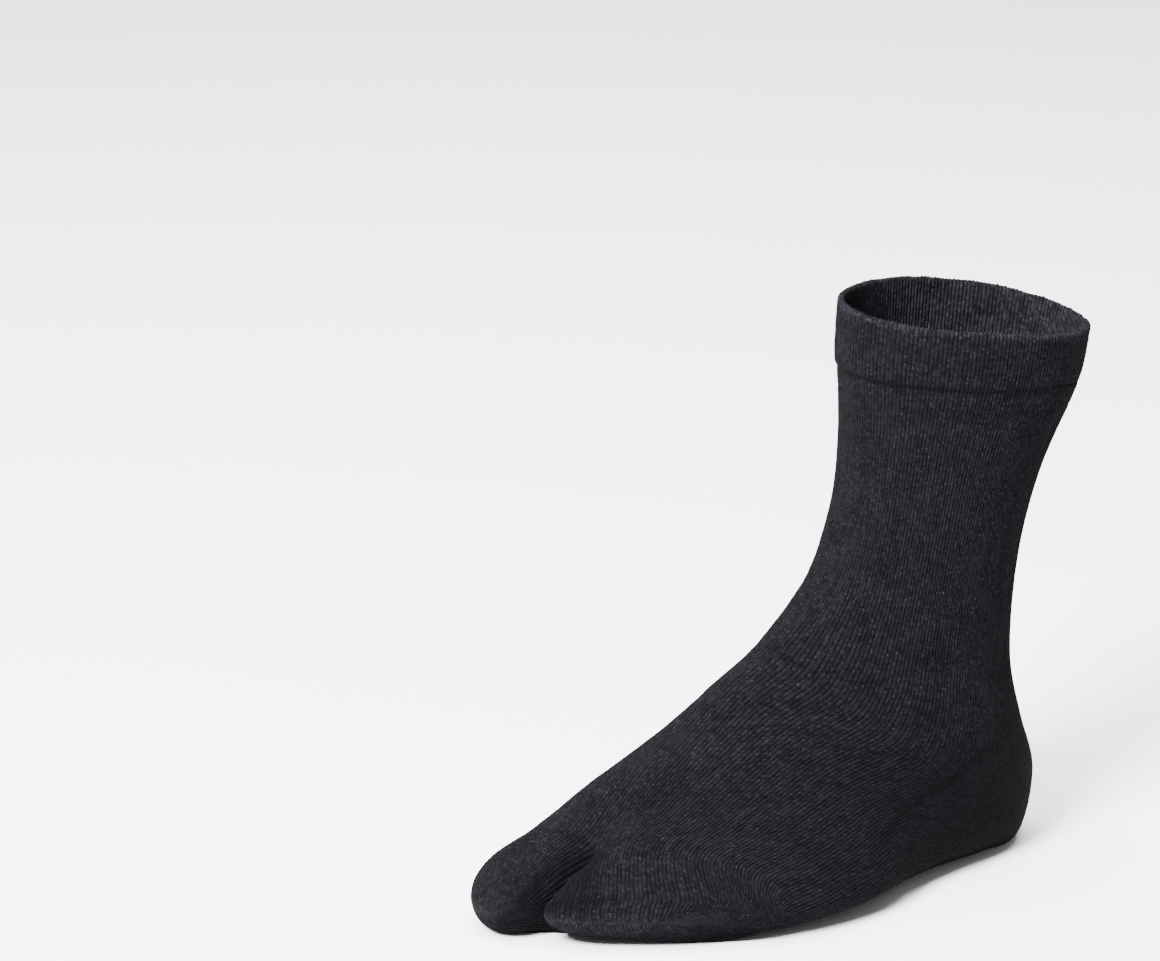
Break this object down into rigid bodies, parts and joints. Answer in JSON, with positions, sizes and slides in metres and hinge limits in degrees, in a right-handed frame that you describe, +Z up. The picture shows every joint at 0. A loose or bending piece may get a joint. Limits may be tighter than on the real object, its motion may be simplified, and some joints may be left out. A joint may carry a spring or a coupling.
{
  "type": "tabi sock",
  "caption": "Charcoal knitted tabi sock for the left foot, in its worn shape, with a split toe and a folded double cuff.",
  "frame": {"origin": "on the floor, under the middle of the ankle", "axes": "+Z up, -Y towards the toes, +X towards the outer side of the left foot"},
  "size_m": [0.1004, 0.2638, 0.2318],
  "materials": {
    "knit": "matte",
    "band_knit": "matte"
  },
  "bodies": {
    "root": {"sock_body": "knit", "cuff_band": "band_knit"}
  },
  "joints": []
}
